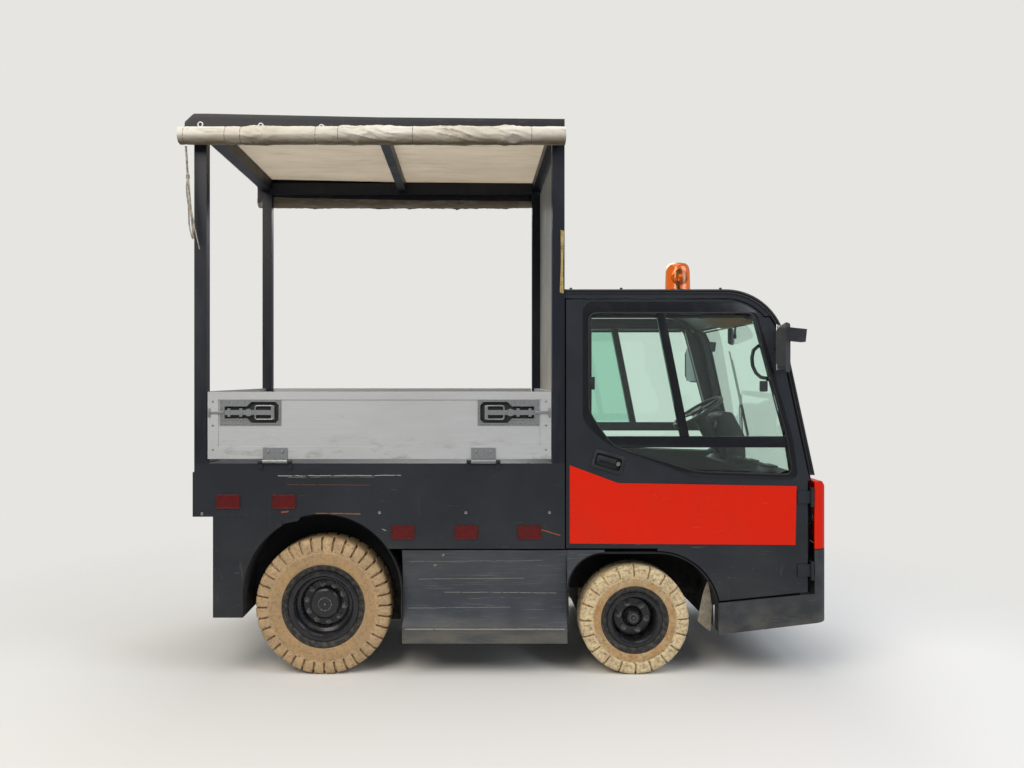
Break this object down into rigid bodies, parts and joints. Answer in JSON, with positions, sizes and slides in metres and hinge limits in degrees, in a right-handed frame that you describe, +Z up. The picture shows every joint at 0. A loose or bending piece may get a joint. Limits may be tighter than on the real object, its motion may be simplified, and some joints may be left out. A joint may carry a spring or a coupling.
{
  "type": "electric platform truck with cab, dropsides and tarpaulin canopy",
  "caption": "Electric platform truck for airport baggage: two-door cab over the front wheels, load bed with folding aluminium boards, post-and-tarpaulin canopy and a rear tow jaw.",
  "frame": {"origin": "on the ground in the middle of the truck, below the middle of its bounding box", "axes": "+X forward, +Y to the left, +Z up"},
  "size_m": [3.146, 1.5956, 2.7503],
  "materials": {
    "chassis_paint": "satin dark grey paint, dusty",
    "cast_steel": "bare cast steel with some rust",
    "battery_case": "steel battery tray, painted",
    "rim_paint": "black paint, worn",
    "tyre_rear": "beige non-marking solid rubber on a black base",
    "tyre_front": "pale beige non-marking solid rubber on a black base",
    "body_paint": "satin anthracite paint with scratches",
    "step_paint": "satin grey paint, heavily scratched",
    "red_lens": "moulded red reflector plastic",
    "board_aluminium": "brushed extruded aluminium, stained",
    "plated_steel": "zinc-plated pressed steel",
    "canopy_paint": "satin dark paint on steel tube",
    "roof_tarpaulin": "translucent coated tarpaulin, dirty",
    "curtain_cloth": "rolled coated cloth, dirty off-white",
    "strap_webbing": "woven webbing, dirty white",
    "red_paint": "gloss red paint",
    "bumper_plastic": "dark moulded plastic, scuffed",
    "tinted_glass": "green-tinted safety glass",
    "lamp_lens": "clear lamp lens",
    "beacon_lens": "translucent amber plastic",
    "mirror_plastic": "black moulded plastic",
    "seat_vinyl": "black vinyl seat cover",
    "dash_plastic": "dark grey moulded plastic"
  },
  "bodies": {
    "truck": {"chassis": "chassis_paint", "bearers": "chassis_paint", "battery": "battery_case", "rear_axle": "chassis_paint", "front_axle": "chassis_paint", "skirts": "body_paint", "fenders": "body_paint", "arch_liners": "chassis_paint", "arch_walls": "chassis_paint", "steps": "step_paint", "rear_panel": "body_paint", "red_lenses": "red_lens", "tow_coupling": "cast_steel", "load_bed": "body_paint", "front_board": "board_aluminium", "canopy_posts": "canopy_paint", "canopy_top": "canopy_paint", "roof_sheet": "roof_tarpaulin", "curtain_rolls": "curtain_cloth", "front_curtain": "roof_tarpaulin", "tie_strap": "strap_webbing", "cab_floor": "body_paint", "cab_frame": "body_paint", "cab_roof": "body_paint", "cab_nose": "red_paint", "bumper": "bumper_plastic", "cab_glass": "tinted_glass", "headlamps": "lamp_lens", "beacon_dome": "beacon_lens", "seats": "seat_vinyl", "dashboard": "dash_plastic"},
    "knuckle_right": {"knuckle_right": "cast_steel"},
    "knuckle_left": {"knuckle_left": "cast_steel"},
    "tie_rod": {"tie_rod": "cast_steel"},
    "wheel_rear_right": {"rim_rear_right": "rim_paint", "tyre_rear_right": "tyre_rear"},
    "wheel_front_right": {"rim_front_right": "rim_paint", "tyre_front_right": "tyre_front"},
    "dropside_right": {"dropside_right": "board_aluminium", "fittings_right": "plated_steel"},
    "door_right": {"door_right": "body_paint", "door_panel_right": "red_paint", "door_glass_right": "tinted_glass", "mirror_right": "mirror_plastic"},
    "wheel_rear_left": {"rim_rear_left": "rim_paint", "tyre_rear_left": "tyre_rear"},
    "wheel_front_left": {"rim_front_left": "rim_paint", "tyre_front_left": "tyre_front"},
    "dropside_left": {"dropside_left": "board_aluminium", "fittings_left": "plated_steel"},
    "door_left": {"door_left": "body_paint", "door_panel_left": "red_paint", "door_glass_left": "tinted_glass", "mirror_left": "mirror_plastic"},
    "tailboard": {"tailboard": "board_aluminium", "fittings_rear": "plated_steel"},
    "steering_wheel": {"steering_wheel": "dash_plastic"}
  },
  "joints": [
    {"name": "spin_rear_right", "type": "hinge", "parent": "truck", "child": "wheel_rear_right", "pos_m": [-0.897, -0.53, 0.336], "axis": [0, 1, 0], "continuous": true},
    {"name": "steer_right", "type": "hinge", "parent": "truck", "child": "knuckle_right", "pos_m": [0.6355, -0.445, 0.27], "axis": [0, 0, 1], "range_deg": [-35, 35]},
    {"name": "spin_front_right", "type": "hinge", "parent": "knuckle_right", "child": "wheel_front_right", "pos_m": [0.6355, -0.545, 0.27], "axis": [0, 1, 0], "continuous": true},
    {"name": "fold_dropside_right", "type": "hinge", "parent": "truck", "child": "dropside_right", "pos_m": [-0.6165, -0.66, 1.055], "axis": [1, 0, 0], "range_deg": [0, 180]},
    {"name": "swing_door_right", "type": "hinge", "parent": "truck", "child": "door_right", "pos_m": [1.494, -0.65, 0.7], "axis": [0, 0, 1], "range_deg": [0, 75]},
    {"name": "spin_rear_left", "type": "hinge", "parent": "truck", "child": "wheel_rear_left", "pos_m": [-0.897, 0.53, 0.336], "axis": [0, 1, 0], "continuous": true},
    {"name": "steer_left", "type": "hinge", "parent": "truck", "child": "knuckle_left", "pos_m": [0.6355, 0.445, 0.27], "axis": [0, 0, 1], "range_deg": [-35, 35]},
    {"name": "spin_front_left", "type": "hinge", "parent": "knuckle_left", "child": "wheel_front_left", "pos_m": [0.6355, 0.545, 0.27], "axis": [0, 1, 0], "continuous": true},
    {"name": "fold_dropside_left", "type": "hinge", "parent": "truck", "child": "dropside_left", "pos_m": [-0.6165, 0.66, 1.055], "axis": [-1, 0, 0], "range_deg": [0, 180]},
    {"name": "swing_door_left", "type": "hinge", "parent": "truck", "child": "door_left", "pos_m": [1.494, 0.65, 0.7], "axis": [0, 0, -1], "range_deg": [0, 75]},
    {"name": "tie_rod_pivot", "type": "hinge", "parent": "knuckle_right", "child": "tie_rod", "pos_m": [0.4955, -0.445, 0.213], "axis": [0, 0, 1], "range_deg": [-35, 35]},
    {"name": "fold_tailboard", "type": "hinge", "parent": "truck", "child": "tailboard", "pos_m": [-1.529, 0, 1.055], "axis": [0, -1, 0], "range_deg": [0, 180]},
    {"name": "turn_steering_wheel", "type": "hinge", "parent": "truck", "child": "steering_wheel", "pos_m": [1.206, 0.29, 1.254], "axis": [-0.5373, 0, 0.8434], "range_deg": [-490, 490]}
  ],
  "couplings": [
    {"joint": "steer_left", "follows": "steer_right", "ratio": 1},
    {"joint": "tie_rod_pivot", "follows": "steer_right", "ratio": -1},
    {"joint": "turn_steering_wheel", "follows": "steer_right", "ratio": 14}
  ]
}
